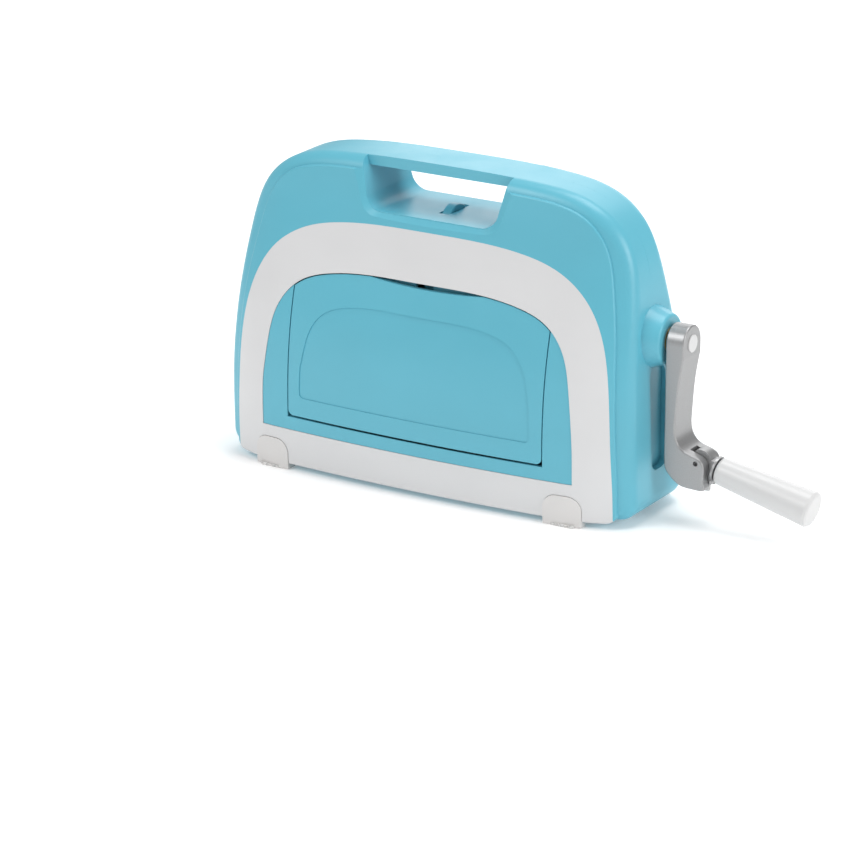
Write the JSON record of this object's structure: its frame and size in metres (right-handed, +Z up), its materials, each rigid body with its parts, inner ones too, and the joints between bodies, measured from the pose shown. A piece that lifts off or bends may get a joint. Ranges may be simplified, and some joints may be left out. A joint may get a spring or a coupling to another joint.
{
  "type": "die cutting machine",
  "caption": "Tabletop hand-cranked die cutting machine: arched carry-handle housing with fold-down feed tables, geared rollers and a folding crank handle.",
  "frame": {"origin": "middle of the whole machine in plan, crank handle included, on the surface that the feet stand on", "axes": "+Z up, +X towards the crank, -Y towards the front feed table"},
  "size_m": [0.4946, 0.1312, 0.2545],
  "materials": {
    "blue_housing": "smooth satin moulded plastic",
    "white_trim": "smooth moulded plastic",
    "foot_plastic": "satin",
    "pad_rubber": "matte translucent white",
    "steel_plate": "zinc-plated sheet",
    "steel_bar": "ground",
    "gear_steel": "oiled",
    "fasteners": "zinc-plated",
    "bush_bronze": "sintered",
    "cast_arm": "silver lacquer on a casting",
    "white_grip": "smooth moulded plastic"
  },
  "bodies": {
    "housing": {"front_housing_shell": "blue_housing", "rear_housing_shell": "blue_housing", "front_arch_frame": "white_trim", "rear_arch_frame": "white_trim", "front_inset_panel": "blue_housing", "rear_inset_panel": "blue_housing", "front_left_foot": "foot_plastic", "front_right_foot": "foot_plastic", "rear_left_foot": "foot_plastic", "rear_right_foot": "foot_plastic", "foot_pads": "pad_rubber", "housing_screws": "fasteners", "base_plate": "steel_plate", "base_screws": "fasteners", "left_side_frame": "steel_plate", "right_side_frame": "steel_plate", "tie_rods": "steel_bar", "tie_rod_nuts": "fasteners", "roller_bushes": "bush_bronze", "crank_frame_bush": "bush_bronze", "crank_boss_bush": "bush_bronze", "front_bed_plate": "steel_plate", "rear_bed_plate": "steel_plate", "front_feed_mouth": "blue_housing", "rear_feed_mouth": "blue_housing", "front_hinge_pins": "fasteners", "rear_hinge_pins": "fasteners", "latch_pin": "fasteners"},
    "top_roller": {"top_roller_tube": "steel_bar", "top_roller_shaft": "steel_bar", "roller_drive_gear": "gear_steel", "top_sync_gear": "gear_steel", "top_retaining_rings": "fasteners"},
    "bottom_roller": {"bottom_roller_tube": "steel_bar", "bottom_roller_shaft": "steel_bar", "bottom_sync_gear": "gear_steel", "bottom_retaining_rings": "fasteners"},
    "crank": {"crank_arm": "cast_arm", "crank_shaft": "steel_bar", "crank_pinion": "gear_steel", "crank_retaining_ring": "fasteners", "crank_collar": "steel_bar", "crank_cap": "white_grip", "handle_pin": "fasteners"},
    "folding_handle": {"handle_tongue": "cast_arm", "handle_spindle": "steel_bar", "lock_button_spring": "fasteners"},
    "grip": {"handle_grip": "white_grip"},
    "lock_button": {"handle_lock_button": "white_grip"},
    "front_table": {"front_feed_table": "blue_housing", "front_table_deck": "steel_plate"},
    "rear_table": {"rear_feed_table": "blue_housing", "rear_table_deck": "steel_plate"},
    "latch": {"latch_toggle": "blue_housing"}
  },
  "joints": [
    {"name": "top_roller_turn", "type": "hinge", "parent": "housing", "child": "top_roller", "pos_m": [0, 0, 0.0935], "axis": [1, 0, 0], "continuous": true},
    {"name": "bottom_roller_turn", "type": "hinge", "parent": "housing", "child": "bottom_roller", "pos_m": [0, 0, 0.0385], "axis": [1, 0, 0], "continuous": true},
    {"name": "crank_turn", "type": "hinge", "parent": "housing", "child": "crank", "pos_m": [0, 0, 0.1415], "axis": [1, 0, 0], "continuous": true},
    {"name": "handle_fold", "type": "hinge", "parent": "crank", "child": "folding_handle", "pos_m": [0.15268, 0, 0.0525], "axis": [0, -1, 0], "range_deg": [0, 102]},
    {"name": "grip_spin", "type": "hinge", "parent": "folding_handle", "child": "grip", "pos_m": [0.15268, 0, 0.0488], "axis": [0.9767, 0, -0.2147], "continuous": true},
    {"name": "lock_button_press", "type": "slide", "parent": "folding_handle", "child": "lock_button", "axis": [0, 0, 1], "range_m": [0, 0.002], "stiffness_N_per_m": 300, "deforming": ["lock_button_spring"]},
    {"name": "front_table_fold", "type": "hinge", "parent": "housing", "child": "front_table", "pos_m": [0, -0.0572, 0.054], "axis": [1, 0, 0], "range_deg": [0, 95.5]},
    {"name": "rear_table_fold", "type": "hinge", "parent": "housing", "child": "rear_table", "pos_m": [0, 0.0572, 0.054], "axis": [-1, 0, 0], "range_deg": [0, 95.5]},
    {"name": "latch_rock", "type": "hinge", "parent": "housing", "child": "latch", "pos_m": [0, 0, 0.203], "axis": [1, 0, 0], "range_deg": [-4.5, 4.5], "stiffness_Nm_per_rad": 0.05}
  ],
  "couplings": [
    {"joint": "crank_turn", "follows": "top_roller_turn", "ratio": -3},
    {"joint": "bottom_roller_turn", "follows": "top_roller_turn", "ratio": -1}
  ]
}
